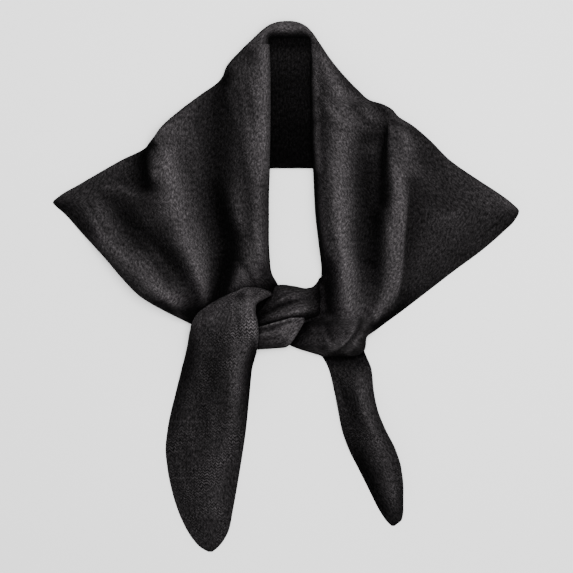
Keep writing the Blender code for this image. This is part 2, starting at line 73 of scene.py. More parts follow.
# how the cloth folds
SOFTNESS = 4.0         # how round the cloth passes over a fold line
LINE_POINTS = 400      # points that a fold line is read at before it is spaced out evenly
LINE_STEP = 5.0        # distance between the places where a fold line holds the cloth
EDGE_STEP = 1.5        # distance between the places where an edge is known
EDGE_HOLD = 3          # every third of them holds the cloth up
DRAPE_SLOPE = 0.55     # how steeply the cloth falls away beside the back that it lies on
CREASE_TIP = 0.45      # width of a small crease at its tips, as a share of its stated width
CREASE_SWELL = 2.2     # how much it widens towards its middle
CREASE_END = 0.02      # share of its length at each tip where it doesn't fade further
SHARP_TURN = 6.5       # for the painted shade, an edge that turns closer than this stays light up to its rim
SHADE_RIM = 0.8              # width of the painted dark rim that is left of it
SHADE_RIM_GROWTH = 2.4       # how much the painted dark rim grows as the edge turns softer
SOFT_REST = 1.4        # how softly the cloth comes to lie on what is under it
GIVE = 1.0             # how far the cloth may pass a fold line by to stay smooth

# the knit, and the light and shade painted into its colour
EVEN_ROWS = 60         # times that the stitches of a row are evened out with its neighbours
WALE = 4.2             # width of one column of stitches
COURSE = 3.0           # height of one stitch
STITCH_DEPTH = 0.22    # relief of the stitches
STITCH_MEAN = 0.45     # mean of the stitches' pattern, from 0 between them to 1 on them
STITCHES = 0.3         # how clearly the stitches show on a stretch, where 1 is plainly
SHADE_REACH = 18.0       # height over which the painted shade goes from dark, where the face lies low, to painted light, where it stands out
LEVEL_LIGHT = 0.5        # share of painted light where the face lies level
CREASE_SHADE_REACH = 9.0       # the height like SHADE_REACH for the painted shade of the small creases
CREASE_SHADE_RANGE = (-0.2, 0.06)   # the most that a small crease darkens and lightens the painted shading
PAINTED_SHADE_TONES = [(0.0, 0.0012), (0.25, 0.0050), (0.5, 0.0105), (0.75, 0.023), (1.0, 0.042)]   # (painted light, shade): base colours that paint light and shade, from dark troughs to lit ridges
TINT = (1.09, 1.0, 1.045)   # the charcoal grey is a little warm
WIDE_BLUR = 13         # distance over which a place is compared with the cloth round it, for the painted light and shade
FINE_BLUR = 2          # the same for the small creases
BLUR_PASSES = 3
LEAST_CLOTH = 0.5      # a height over this is cloth
# where a stretch has its own painted light and shade and stitches: (SHADE_REACH, LEVEL_LIGHT, STITCHES)
SHADE_AND_STITCHES_OF = {"tail_left": (32.0, 0.53, 1.0), "tail_right": (24.0, 0.46, 0.7), "band_upper": (26.0, 0.43, 0.4),
          "band_lower": (22.0, 0.67, 0.4)}

# small creases: (from x, y, to x, y, bow, width, height), a trough where the height is negative
CREASES = {
    "front_right": [(186, 41, 226, 76, 1.0, 1.3, -0.8), (224, 86, 231, 79, 0.4, 1.2, -0.6),
        (92, 20, 70, 34, 1.5, 4.0, -1.2), (34, 192, 62, 158, -4.0, 6.0, 1.8),
        (62, 188, 88, 160, -4.0, 5.0, -1.4), (60, 190, 98, 172, 3.0, 5.0, 1.2),
        (38, 150, 52, 118, 2.0, 5.0, -0.5), (58, 110, 46, 70, -2.0, 5.0, 1.2),
        (40, 60, 54, 22, 2.0, 5.0, -1.2), (122, 118, 152, 92, 4.0, 9.0, 1.2),
        (140, 60, 176, 80, -3.0, 8.0, 1.0), (106, 128, 116, 84, 1.0, 4.0, 1.0),
        (104, 78, 113, 34, 1.0, 4.0, -1.0), (76, -20, 92, -52, 3.0, 4.0, -1.5),
        (40, -28, 50, -58, -2.0, 4.0, -1.6), (14, -44, 34, -50, 1.0, 4.0, -1.0),
        (67, -28, 36, -68, 9.5, 1.7, 1.4)],
    "front_left": [(-198, 86, -150, 34, -6.0, 4.0, -1.4), (-186, 98, -150, 92, 2.0, 6.0, 1.8),
        (-172, 110, -148, 112, -2.0, 5.0, -1.2), (-160, 60, -122, 18, 5.0, 5.0, 1.6),
        (-136, 30, -112, -8, 3.0, 4.0, -1.4), (-120, 120, -104, 70, 4.0, 7.0, 1.4),
        (-108, 150, -96, 110, -2.0, 6.0, -1.5), (-92, 156, -86, 96, 2.0, 5.0, 1.2),
        (-94, 60, -82, 8, 2.0, 4.0, -1.4), (-60, 198, -48, 160, 2.0, 5.0, 1.2),
        (-46, 150, -38, 96, -1.5, 5.0, -1.1), (-40, 206, -32, 150, 1.0, 4.0, -1.0),
        (-50, 30, -30, -2, 2.0, 4.0, -1.4), (-34, 70, -24, 24, 1.0, 4.0, 1.0),
        (-128, -14, -100, -30, 2.0, 4.0, -1.2)],
    "tail_left": [(-84, -30, -56, -70, -5.0, 6.0, -1.0), (-52, -16, -46, -60, 2.0, 4.0, -1.2),
        (-92, -70, -74, -150, 4.0, 6.0, 1.2), (-60, -90, -70, -170, 3.0, 7.0, -1.2),
        (-104, -140, -92, -210, -3.0, 6.0, -1.0), (-80, -180, -70, -240, 2.0, 6.0, 0.3),
        (-116, -160, -80, -258, -8.0, 7.0, -1.2)],
    "tail_right": [(46, -84, 60, -118, 2.0, 4.0, -1.2), (70, -96, 90, -150, -3.0, 5.0, 1.3),
        (66, -150, 92, -206, -3.0, 5.0, -0.5)],
    "band_upper": [(-22, -24, 12, -6, 2.5, 1.6, 0.9), (-24, -29, 20, -12, 3.0, 1.5, -1.2),
        (-20, -30, 26, -15, 2.6, 1.5, 0.9), (-14, -17, 8, -3, 1.2, 1.3, -0.9),
        (-10, -9, 12, -2, 1.0, 1.2, 0.6), (-4, -26, 28, -19, 1.4, 1.4, -0.8)],
    "band_lower": [(-30, -46, 6, -41, 1.2, 1.4, -0.9), (-30, -50, 8, -45, 1.6, 1.4, 0.7),
        (-28, -54, 2, -51, 1.0, 1.5, -0.8), (-24, -58, -2, -57, 0.6, 1.3, 0.5),
        (-20, -40, 12, -34, 1.0, 1.4, -0.9), (-16, -46, 10, -38, 1.4, 1.3, 0.7)],
}

# ---- the fronts
# edges: (y, x, height of the cloth where it starts to turn down, turn radius)
# lines: (y, x, height), and where a fold hangs over, how far it leans to the right
# end radii: how far the cloth comes down over an end, the first at the smallest y
FRONT_LEFT = {
    "low_edge": [(243, -40, 17, 8), (237, -46, 18, 8), (224, -58, 19, 8), (219, -61, 18, 8),
        (213, -63, 15, 7), (207, -67, 12, 7), (193, -86, 10.5, 7), (178, -106, 15, 8), (160, -126, 23, 7),
        (150, -133, 25, 6), (145, -137, 19, 6), (140, -141, 11, 6), (127, -166, 9.5, 7),
        (104, -206, 9.5, 7), (91, -228, 8, 6), (85, -234, 5, 4), (80, -230, 4, 3.4), (75, -224, 5, 4.5),
        (53, -204, 10, 6), (40, -192, 17.5, 6), (29, -182, 21, 6.5), (8, -164, 25, 6.5),
        (-10, -146, 26, 6.5), (-22, -126, 23, 6), (-37, -96, 9, 4)],
    "high_edge": [(243, -16, 20, 7), (207, -15, 25, 6.5), (187, -15, 25.7, 6.5), (119, -16, 26.5, 6.5),
        (87, -17, 26, 7), (47, -17, 26, 7), (27, -16, 24, 7), (17, -15, 20, 7), (11, -13, 17, 6),
        (6, -10, 14, 5), (2, -8, 12, 4), (-1, -7.5, 11, 4), (-5, -7.5, 10, 4), (-13, -10, 9, 4),
        (-22, -15, 9, 4), (-30, -32, 9, 4), (-37, -62, 8, 4)],
    "lines": {
        "ridge_d": [(93, -208, 10), (82, -200, 11), (65, -191, 14.5), (44, -174, 20.5), (22, -154, 25.5),
            (4, -139, 28), (-16, -117, 26), (-32, -102, 16)],
        "trough_c": [(107, -182, 10), (90, -178, 9.5), (74, -166, 9.5), (60, -156, 11), (44, -140, 15.5),
            (27, -117, 18.5), (7, -101, 18.5), (-13, -89, 16), (-34, -89, 9)],
        "slope_c": [(90, -153, 14), (67, -143, 18.5), (47, -128, 20.5), (34, -116, 20.5)],
        "slope_d": [(44, -156, 16.5), (24, -132, 21.5), (4, -117, 23)],
        "fold_b_foot": [(138, -141, 10), (127, -140, 9.4), (112, -140, 9.4), (102, -140, 10.5)],
        "fold_b_edge": [(143, -133, 16, -2), (137, -134, 17, -4), (127, -134, 17, -5),
            (112, -133, 19, -4), (102, -131, 22, -1)],
        "slope_b": [(90, -137, 21.5), (77, -132, 25), (67, -126, 27), (47, -113, 27), (27, -101, 25),
            (7, -92, 21)],
        "ridge_b": [(150, -124, 22), (137, -127, 24), (122, -125, 28), (107, -121, 30), (87, -113, 31),
            (67, -106, 30), (47, -96, 28), (27, -87, 25), (7, -83, 21.5), (-13, -78, 16), (-34, -82, 9)],
        "slope_a": [(170, -92, 12), (137, -92, 14), (102, -89, 14.5), (72, -82, 12.5), (42, -76, 12),
            (12, -72, 10.5)],
        "trough_a": [(204, -73, 10), (187, -73, 9.2), (152, -73, 9), (117, -72, 9), (97, -70, 7.5),
            (67, -62, 6), (47, -58, 5.5), (27, -58, 5), (10, -61, 5), (-9, -67, 5), (-34, -80, 8)],
        "roll_side": [(207, -56, 18), (187, -58, 15.5), (117, -57, 16.5), (87, -54, 19.5), (67, -50, 20),
            (47, -46, 18), (27, -46, 18), (12, -51, 18), (-9, -60, 15), (-34, -78, 8)],
        "roll_slope": [(232, -38, 18), (207, -40, 22.5), (187, -41, 23.5), (127, -41, 25),
            (67, -37, 23.8), (37, -36, 24.5)],
        "roll_crest": [(243, -24, 19), (215, -27, 23.7), (187, -28, 26.3), (160, -27, 26.9),
            (117, -26, 27.5), (47, -27, 27), (22, -27, 24), (0, -28, 19), (-13, -38, 14), (-34, -74, 8)],
    },
}

FRONT_RIGHT = {
    "low_edge": [(243, 25, 14, 5), (227, 24.5, 19, 8), (207, 24, 23, 9), (187, 24.5, 24.6, 9),
        (147, 25, 25.6, 9), (119, 27, 26.4, 9), (77, 29, 28, 8.5), (57, 31, 28, 8.5),
        (37, 33.5, 26.5, 8.5), (17, 35.5, 20, 8.5), (7, 35, 15, 8), (2, 33, 12, 8), (-3, 33.5, 11.5, 9),
        (-25, 34, 11.5, 9), (-29, 31, 11, 7.5), (-32, 23, 10, 8), (-35, 14, 9, 8), (-39, 8, 9, 7),
        (-58, 4, 10, 4), (-62, 12, 11, 5), (-66, 25, 12, 6), (-70, 38, 11, 6)],
    "high_edge": [(243, 35, 15, 5), (237, 39, 17, 6), (227, 46, 22, 7), (207, 63, 27, 7),
        (197, 73, 27, 7), (187, 85, 23, 7), (184, 96, 16, 7), (179, 106, 16, 7), (171, 113, 16, 7),
        (163, 126, 15, 7), (148, 144, 12, 7), (128, 164, 10, 7), (107, 194, 9.5, 7), (94, 214, 9.5, 7),
        (85, 226, 9, 6), (76, 234, 6, 4), (66, 229, 4, 3.4), (57, 220, 3.4, 3.4), (37, 197, 3.2, 3.4),
        (17, 170, 3.2, 3.4), (-3, 144, 3.2, 3.4), (-23, 118, 3.4, 3.4), (-43, 91, 7, 4), (-51, 81, 12, 5),
        (-60, 80, 13, 6), (-66, 77, 12, 6), (-70, 68, 11, 6)],
    "lines": {
        "roll_face": [(187, 43, 30), (157, 42, 30.5), (117, 42, 30), (57, 44, 29), (37, 46, 28),
            (17, 47, 22.5), (-3, 46, 18), (-23, 43, 15), (-38, 38, 14.5), (-50, 34, 14.5), (-62, 32, 14)],
        "roll_crest": [(232, 33, 20), (207, 48, 29), (187, 54, 33.2), (157, 54, 33), (117, 53, 31.5),
            (57, 54, 31), (17, 58, 30), (-13, 62, 28), (-33, 62, 25), (-42, 61, 22), (-50, 56, 19.5),
            (-57, 48, 18)],
        "roll_edge": [(192, 66, 29.5), (162, 67, 30), (147, 65, 28), (127, 65, 24.5), (107, 65, 23),
            (57, 65, 22), (17, 69, 23), (-10, 73, 22)],
        "shoulder_swell": [(180, 84, 23), (168, 88, 22), (156, 85, 20), (145, 79, 18)],
        "trough_f": [(137, 89, 16), (120, 89, 11.5), (102, 89, 9), (85, 90, 7.5), (72, 90, 6.5),
            (37, 89, 9.5), (7, 90, 13.5), (-13, 89, 17), (-33, 84, 20.5)],
        "trough_f_side": [(137, 81, 18), (120, 80, 13.5), (102, 79, 10), (72, 79, 8.5), (37, 79, 10.5),
            (7, 82, 14)],
        "pocket": [(184, 94, 17), (178, 99.5, 18.5), (168, 102, 18), (157, 102, 15.5), (145, 100.5, 14),
            (132, 99, 10.8), (115, 97, 9.4), (102, 96, 8.8), (85, 96, 7)],
        "pocket_lip": [(185, 95, 17, -1), (179, 102, 18, -3), (168, 106, 19, -4), (157, 106.5, 19, -5),
            (137, 106.5, 19, -4), (110, 105, 18, -2)],
        "ridge_g": [(176, 107, 17), (166, 112, 19), (137, 112, 20), (107, 112, 21), (77, 112, 20),
            (47, 110, 19.5), (17, 108, 18.5), (-3, 105, 17.5), (-18, 99, 18), (-35, 91, 17),
            (-50, 80, 15)],
        "fold_g_edge": [(104, 116, 18, 3), (77, 115, 18, 4), (47, 113, 18, 4), (17, 111, 17, 4),
            (-3, 108, 16, 3), (-18, 102, 14, 2), (-31, 95, 11, 0)],
        "second_ridge": [(165, 117, 19.5), (150, 119, 21), (132, 120, 20.5), (116, 119, 19.5)],
        "fold_g_foot": [(104, 124, 15), (77, 122, 12.5), (47, 119.5, 11.5), (17, 117.5, 11.5),
            (-3, 114.5, 10), (-18, 108.5, 9.5), (-31, 101, 8)],
        "wing_swell": [(160, 122, 17), (147, 128, 16), (127, 136, 13), (107, 142, 10.5), (77, 144, 9.5),
            (47, 140, 8.5), (17, 131, 8), (-3, 123, 7)],
        "wing": [(127, 156, 11), (107, 172, 10), (77, 184, 9.4), (57, 176, 8.4), (37, 160, 7),
            (17, 144, 5.5)],
        "apron": [(-42, 26, 13.5), (-54, 24, 13), (-62, 30, 15)],
        "curl_edge": [(-30, 69.5, 23, 2), (-38, 67, 23, 3), (-46, 63, 22, 3), (-53, 57, 21, 2),
            (-59, 49, 19, 1), (-63, 42, 17, 0), (-66, 36, 15, 0)],
        "curl_foot": [(-32, 75, 20), (-40, 72, 18.5), (-48, 68.5, 17), (-55, 63, 16), (-61, 55, 15),
            (-66, 47, 12.5)],
        "under_curl": [(-42, 80, 20.5), (-50, 75, 20), (-58, 69, 19), (-66, 62, 15)],
    },
    "first_end_radius": 8.0,
}

# ---- the tails
TAIL_LEFT = {
    "low_edge": [(0, -42, 23, 6), (-3, -48, 23, 7), (-6, -55, 23, 7), (-13, -70, 22, 7),
        (-18, -78, 22, 7), (-28, -90, 24, 6), (-38, -95, 24, 6), (-63, -100, 18, 6), (-83, -105, 11, 5),
        (-103, -110, 7, 4), (-143, -119, 3.6, 4), (-163, -121, 3.4, 4), (-183, -119, 3.4, 4),
        (-203, -115, 3.4, 4), (-223, -109, 3.4, 4), (-243, -100, 3.4, 4), (-255, -92, 3.4, 4),
        (-262, -85, 3.3, 3.4), (-266, -78, 3, 3)],
    "high_edge": [(0, -31, 20, 6), (-2, -22, 21, 6), (-4, -17, 22, 5), (-6, -14.5, 23, 5),
        (-8, -14.5, 23, 5), (-10, -17, 24, 5), (-12.5, -22, 26, 4), (-15, -26.5, 29, 4),
        (-18, -29.5, 32, 3.6), (-25, -30, 34, 3.4), (-32, -28.5, 34, 3.4), (-38, -27.5, 34, 3.4),
        (-48, -27, 32, 3.6), (-63, -29, 22, 5), (-83, -34, 13, 5), (-103, -36, 8.5, 5), (-143, -40, 4, 4),
        (-183, -46, 3.6, 4), (-223, -53, 3.4, 4), (-243, -57, 3.4, 4), (-255, -63, 3.4, 4),
        (-262, -69, 3.3, 3.4), (-266, -74, 3, 3)],
    "lines": {
        "left_swell": [(-16, -62, 25), (-28, -78, 26), (-40, -84, 26), (-60, -88, 23), (-80, -92, 17),
            (-110, -98, 11), (-150, -106, 7), (-190, -106, 5), (-230, -96, 4.4)],
        "valley": [(-14, -52, 27), (-28, -60, 29.5), (-40, -63, 31), (-60, -68, 28.3), (-80, -73, 21.5),
            (-110, -79, 13.5), (-150, -85, 8.2), (-190, -88, 7), (-230, -84, 6)],
        "lip": [(-5, -33, 29), (-7, -25, 29)],
        "ridge": [(-6, -41, 26.5), (-13, -39, 31), (-25, -37, 35), (-40, -35, 35), (-55, -36, 30.5),
            (-70, -38.5, 24.3), (-90, -42, 18.5), (-110, -45.5, 15), (-130, -51, 12), (-180, -68, 8.5),
            (-230, -72, 6.5)],
    },
    "first_end_radius": 10.0,
    "last_end_radius": 7.0,
}

TAIL_RIGHT = {
    "low_edge": [(-58, 40, 3.5, 4), (-70, 37, 3.5, 4), (-76, 40, 3.8, 4), (-83, 43, 5, 5),
        (-103, 48, 7, 5), (-123, 52, 8, 5), (-143, 56, 8, 5), (-163, 63, 7, 5), (-183, 73, 6, 5),
        (-203, 83, 5, 4), (-223, 93, 4, 4), (-235, 101, 3.6, 4), (-240, 106, 3, 3)],
    "high_edge": [(-58, 76, 3.5, 4), (-70, 81, 3.5, 4), (-83, 86, 6, 4), (-103, 88, 11, 5),
        (-123, 92, 12.5, 5), (-143, 100, 12.5, 5), (-163, 110, 12.5, 5), (-183, 116, 11, 5),
        (-203, 118, 8, 4), (-223, 118, 5, 4), (-233, 116.5, 4, 4), (-240, 109, 3, 3)],
    "lines": {
        "hollow": [(-58, 52, 3.3), (-74, 54, 3.5), (-86, 54, 5.5), (-123, 63, 8), (-163, 79, 11.5),
            (-203, 95, 10), (-230, 104, 4.5)],
        "crest": [(-58, 66, 3.3), (-76, 70, 3.5), (-88, 74, 9), (-103, 77, 12.5), (-123, 81, 14.5),
            (-163, 97, 15), (-203, 108, 11.5), (-230, 111, 5)],
    },
    "first_end_radius": 8.0,
}

# ---- the bands of the knot
# these run across the scarf, so x comes before y, and the first end is the left one
BAND_UPPER = {
    "low_edge": [(-34, -48, 16, 4), (-24.5, -45, 16, 4), (-5, -41, 17, 4), (15, -36, 14, 4),
        (28, -33, 8.5, 5), (48, -30, 6, 5)],
    "high_edge": [(-34, -30, 11, 4), (-26, -23, 14, 5), (-22, -18, 17, 5), (-18, -11.5, 19, 6),
        (-14, -5.5, 20, 6), (-11, 0.2, 20, 6), (-8, 2.2, 20, 6), (-3, 2.4, 20, 6), (4, 1.6, 20, 6),
        (12, 0.2, 20, 6), (19, -1.2, 17, 6), (25, -0.4, 12, 6), (29, 2.2, 9, 5), (32, 6, 7.5, 5),
        (34, 9.5, 7, 5), (48, 11, 6, 5)],
    "lines": {
        "under_lap": [(-34, -44, 16), (-5, -36, 17), (15, -31, 15), (28, -28, 9), (48, -26, 6.5)],
        "lower_rib": [(-34, -40, 19), (-24.5, -34, 22.5), (-5, -28, 27), (12, -23.5, 27), (22, -21, 21),
            (31, -20, 11), (48, -20, 6.5)],
        "groove": [(-34, -38, 18), (-24.5, -29, 19.5), (-5, -21, 20.5), (12, -17, 19.5), (22, -15, 15),
            (31, -14, 9), (48, -15, 6.5)],
        "upper_rib": [(-34, -36, 17), (-24.5, -27, 20), (-12, -16, 23), (-2, -12, 24), (10, -9, 22),
            (22, -8, 15), (31, -7, 8.5), (48, -8, 6.5)],
    },
}

BAND_LOWER = {
    "low_edge": [(-38, -63, 17, 7), (-25, -62.5, 19.5, 7), (-10, -61.6, 18, 7), (-1, -60.8, 18, 7),
        (3, -58.5, 18, 7), (8, -52.5, 18, 6), (13, -44.5, 17, 5), (17, -37.5, 15, 4),
        (18.5, -34.8, 14, 3.4)],
    "high_edge": [(-38, -44, 16, 3.4), (-25, -39, 20, 3.4), (-21, -38, 20, 3.4), (-5, -33.5, 22, 3.4),
        (8, -30.5, 22, 3.4), (15, -30.5, 19, 3.4), (18.5, -32, 15, 3.4)],
    "lines": {
        "bottom_rib": [(-38, -56, 21), (-25, -55, 24), (-10, -54, 23), (0, -52, 25), (10, -45, 22),
            (17, -36, 17)],
        "groove": [(-38, -53, 19), (-25, -51, 22), (-10, -49, 21.5), (0, -47, 23), (10, -41, 21)],
        "top_rib": [(-38, -49, 20), (-25, -46, 24), (-10, -43, 23), (0, -41, 25), (10, -36, 23)],
    },
    "last_end_radius": 5.0,
}

# ---- the neck and the back
# the roll over the neck: (outer x, outer y, inner x, inner y, height, turn radius)
NECK_ROLL = [(-40, 243, -16, 243, 19, 7.5), (-31, 251.5, -15.8, 245.5, 19.5, 7.5),
    (-24, 258, -15, 247.6, 20, 7.5), (-15, 264, -12, 248.8, 20, 7.5), (-5, 266.6, -4, 249, 20, 7.5),
    (4, 267, 4, 249, 19.5, 7.5), (13, 265.4, 12, 249, 18.5, 7.5), (20, 262, 20, 248.8, 17.5, 6.5),
    (27, 255, 24, 247.4, 16, 5), (35, 243, 25, 243, 15, 4.5)]

NECK_UNDER = 1.35      # how much softer it turns under on its inner side
NECK_SECTIONS = 121
NECK_EDGE_PLACES = 90
NECK_TURN_SHARE = 0.3  # share of its width that each turned edge takes
NECK_MIDDLE = 16       # points across the rest

BACK_PLIES = 5.6       # thickness of the back and its turned-up point, one on the other
BACK_FOLD = [(-200, 90.5), (-16, 119), (27, 119), (200, 79)]   # (x, y) of the fold that ends it
BACK_HALF_WIDTH = 200.0
BACK_STEP = 2.0        # distance between its columns of points
BACK_ROWS = 60         # in each ply
BACK_TURN_ROWS = 9     # round its fold
BACK_TOP_Y = 257.0     # its upper edge, where no fold over it is lower
BACK_LEAST = 6.0       # the shortest that a column of it may be
BACK_INSET = 11.0      # how far it stays inside the shoulder folds
NECK_INSET = 6.0       # how far it stays inside the roll over the neck
LEFT_SHOULDER_Y = (85.0, 240.5)    # where the shoulder folds run
RIGHT_SHOULDER_Y = (76.0, 236.5)
# (y, painted light) of the back, which lies in the shade: shade painted by y
BACK_PAINTED_SHADE = [(80, 0.0), (119, 0.0), (160, 0.02), (172, 0.06), (205, 0.1), (232, 0.2), (243, 0.06), (260, 0.0)]


def curve(rows, column, at):
    """A table's column at places along it: a smooth curve through its rows that never overshoots."""
    rows = sorted(rows)
    places = np.array([row[0] for row in rows], float)
    values = np.array([row[column] for row in rows], float)
    steps = np.diff(places)
    slopes = np.diff(values) / steps
    tangents = np.zeros(len(places))
    tangents[0], tangents[-1] = slopes[0], slopes[-1]
    for i in range(1, len(places) - 1):
        if slopes[i - 1] * slopes[i] > 0.0:
            near, far = 2.0 * steps[i] + steps[i - 1], steps[i] + 2.0 * steps[i - 1]
            tangents[i] = (near + far) / (near / slopes[i - 1] + far / slopes[i])
    at = np.clip(np.asarray(at, float), places[0], places[-1])
    i = np.clip(np.searchsorted(places, at, side="right") - 1, 0, len(steps) - 1)
    t = (at - places[i]) / steps[i]
    return (values[i] * (1 + 2 * t) * (1 - t) ** 2 + values[i + 1] * t * t * (3 - 2 * t)
            + steps[i] * (tangents[i] * t * (1 - t) ** 2 + tangents[i + 1] * t * t * (t - 1)))


def ease(t):
    """0 to 1, flat at both ends."""
    t = np.clip(t, 0.0, 1.0)
    return t * t * (3.0 - 2.0 * t)


def moved(field):
    """A grid moved by one cell to each of the four sides."""
    return [np.roll(field, step, axis) for axis in (0, 1) for step in (1, -1)]


class Relief:
    """Heights of all that is laid so far, on a grid of one millimetre."""

    def __init__(self):
        self.low, self.size = -GRID_HALF, 2 * GRID_HALF
        self.top = np.zeros((self.size, self.size))

    def cell(self, x, y):
        """Row and column of the cell that holds a place."""
        column = np.clip(np.round(np.asarray(x) - self.low).astype(int), 0, self.size - 1)
        row = np.clip(np.round(np.asarray(y) - self.low).astype(int), 0, self.size - 1)
        return row, column

    def lay(self, points, spread):
        """Add a stretch's outer face, widened by spread."""
        added = np.zeros_like(self.top)
        between = (points[1:, 1:] + points[:-1, :-1]) / 2.0
        for some in (points, between):
            row, column = self.cell(some[..., 0], some[..., 1])
            np.maximum.at(added, (row, column), some[..., 2])
        for _ in range(spread):
            added = np.maximum.reduce([added, *moved(added)])
        self.top = np.maximum(self.top, added)

    def drape(self, slope):
        """Let what is laid so far hold the cloth up beside it as well, falling away at a slope."""
        for _ in range(int(self.top.max() / slope) + 1):
            self.top = np.maximum(self.top, np.maximum.reduce(moved(self.top)) - slope)

    def at(self, x, y):
        """Height at places, smoothly between the cells."""
        fx = np.clip(np.asarray(x) - self.low, 0, self.size - 1.001)
        fy = np.clip(np.asarray(y) - self.low, 0, self.size - 1.001)
        column, row = fx.astype(int), fy.astype(int)
        s, t = fx - column, fy - row
        top = self.top
        return ((top[row, column] * (1 - s) + top[row, column + 1] * s) * (1 - t)
                + (top[row + 1, column] * (1 - s) + top[row + 1, column + 1] * s) * t)


def lean(rows, at):
    """How much longer a level step in from an edge is than a square one, from the edge's direction."""
    reach, most = 1.5, 3.0
    slope = (curve(rows, 1, at + reach) - curve(rows, 1, at - reach)) / (2.0 * reach)
    return np.minimum(np.hypot(1.0, slope), most)


def section_places(table, at, spacing):
    """Places across every section: close together round its two turned-down edges, and even between."""
    low, high = table["low_edge"], table["high_edge"]
    start, end = curve(low, 1, at), curve(high, 1, at)
    width = end - start
    turn_low = np.minimum(curve(low, 3, at) * lean(low, at), TURN_SHARE * width)
    turn_high = np.minimum(curve(high, 3, at) * lean(high, at), TURN_SHARE * width)
    turned = 1.0 - np.cos(np.radians(QUARTER))
    count = max(int(math.ceil((width - turn_low - turn_high).max() / spacing)), 2)
    even = np.linspace(0.0, 1.0, count + 1)[1:-1]
    first, last = start + turn_low, end - turn_high
    return np.concatenate([start[:, None] + turn_low[:, None] * turned,
                           first[:, None] + (last - first)[:, None] * even,
                           end[:, None] - turn_high[:, None] * turned[::-1]], axis=1)


class Edge:
    """The turned-down edges of a stretch, or of several that pass into each other."""

    def __init__(self):
        self.runs = []

    def add_sides(self, table, along_x=False):
        """Follow the two edges of a stretch."""
        self.add(table["low_edge"], 1, along_x)
        self.add(table["high_edge"], -1, along_x)

    def add(self, rows, side, along_x):
        """Follow one edge; the cloth lies on the side that is named, 1 towards greater across."""
        at = np.arange(min(row[0] for row in rows), max(row[0] for row in rows) + 0.01, EDGE_STEP / 3.0)
        across = curve(rows, 1, at)
        x, y = (at, across) if along_x else (across, at)
        gone = np.concatenate([[0.0], np.cumsum(np.hypot(np.diff(x), np.diff(y)))])
        even = np.arange(0.0, gone[-1], EDGE_STEP)
        at = np.interp(even, gone, at)
        x, y = np.interp(even, gone, x), np.interp(even, gone, y)
        way_x, way_y = np.gradient(x), np.gradient(y)
        length = np.hypot(way_x, way_y)
        turn = side * (-1.0 if along_x else 1.0)
        self.follow(np.stack([x, y], axis=-1), curve(rows, 2, at), curve(rows, 3, at),
                    np.stack([way_y / length * turn, -way_x / length * turn], axis=-1))

    def follow(self, places, heights, turns, inward):
        """Take up a run of places, with the cloth's height, its turn radius and the way into it."""
        self.runs.append((places, heights, turns, inward))

    def holds(self):
        """Places just inside the edge, where the cloth has its full height, with that height."""
        held = []
        chosen = slice(1, None, EDGE_HOLD)
        for places, heights, turns, inward in self.runs:
            inside = places[chosen] + inward[chosen] * turns[chosen, None]
            held.append(np.column_stack([inside, heights[chosen], np.zeros(len(inside))]))
        return np.concatenate(held)

    def share(self, x, y, shade_height=False):
        """Share of the full height at a place: a quarter round down to nothing at the edge.

        For the painted light and shade, the cloth stays light nearer to a sharp edge than it turns.
        """
        places, _, turns, inward = (np.concatenate(values) for values in zip(*self.runs))
        if shade_height:
            turns = SHADE_RIM + SHADE_RIM_GROWTH * np.maximum(turns - SHARP_TURN, 0.0)
        shares = np.empty(x.size)
        flat = np.stack([x.ravel(), y.ravel()], axis=-1)
        for begin in range(0, len(flat), CHUNK):
            some = flat[begin:begin + CHUNK]
            away = ((some[:, None, 0] - places[None, :, 0]) ** 2
                    + (some[:, None, 1] - places[None, :, 1]) ** 2)
            nearest = away.argmin(axis=1)
            square = np.abs(((some - places[nearest]) * inward[nearest]).sum(axis=1))
            past = np.sqrt(np.maximum(away[np.arange(len(some)), nearest] - square ** 2, 0.0))
            depth = np.hypot(square, np.maximum(past - EDGE_STEP / 2.0, 0.0)) / turns[nearest]
            shares[begin:begin + CHUNK] = np.sqrt(1.0 - (1.0 - np.minimum(depth, 1.0)) ** 2)
        return shares.reshape(x.shape)


class Folds:
    """The smooth surface through fold lines and edges: its height, and how far it leans to the right."""

    def __init__(self, lines, edge, along_x=False):
        held = np.concatenate([edge.holds(), *(self.along(line, along_x) for line in lines)])
        self.places = held[:, :2]
        spread = np.hypot(self.places[:, None, 0] - self.places[None, :, 0],
                          self.places[:, None, 1] - self.places[None, :, 1])
        pull = np.sqrt(spread ** 2 + SOFTNESS ** 2) - GIVE * np.eye(len(held))
        self.middle = held[:, 2:].mean(axis=0)
        self.weights = np.linalg.solve(pull, held[:, 2:] - self.middle)

    def along(self, line, along_x):
        """Places every few millimetres along one fold line."""
        at = np.array([row[0] for row in line], float)
        fine = np.linspace(at.min(), at.max(), LINE_POINTS)
        across, height = curve(line, 1, fine), curve(line, 2, fine)
        lean_right = curve(line, 3, fine) if len(line[0]) > 3 else np.zeros(LINE_POINTS)
        gone = np.concatenate([[0.0], np.cumsum(np.hypot(np.diff(fine), np.diff(across)))])
        even = np.linspace(0.0, gone[-1], max(int(gone[-1] / LINE_STEP), 2))
        fine, across, height, lean_right = (np.interp(even, gone, values)
                                            for values in (fine, across, height, lean_right))
        x, y = (fine, across) if along_x else (across, fine)
        return np.column_stack([x, y, height, lean_right])

    def at(self, x, y):
        """Height and lean at places."""
        values = np.empty((x.size, 2))
        flat_x, flat_y = x.ravel(), y.ravel()
        for begin in range(0, x.size, CHUNK):
            some = slice(begin, begin + CHUNK)
            spread = ((flat_x[some, None] - self.places[None, :, 0]) ** 2
                      + (flat_y[some, None] - self.places[None, :, 1]) ** 2)
            values[some] = np.sqrt(spread + SOFTNESS ** 2) @ self.weights + self.middle
        return values[:, 0].reshape(x.shape), values[:, 1].reshape(x.shape)


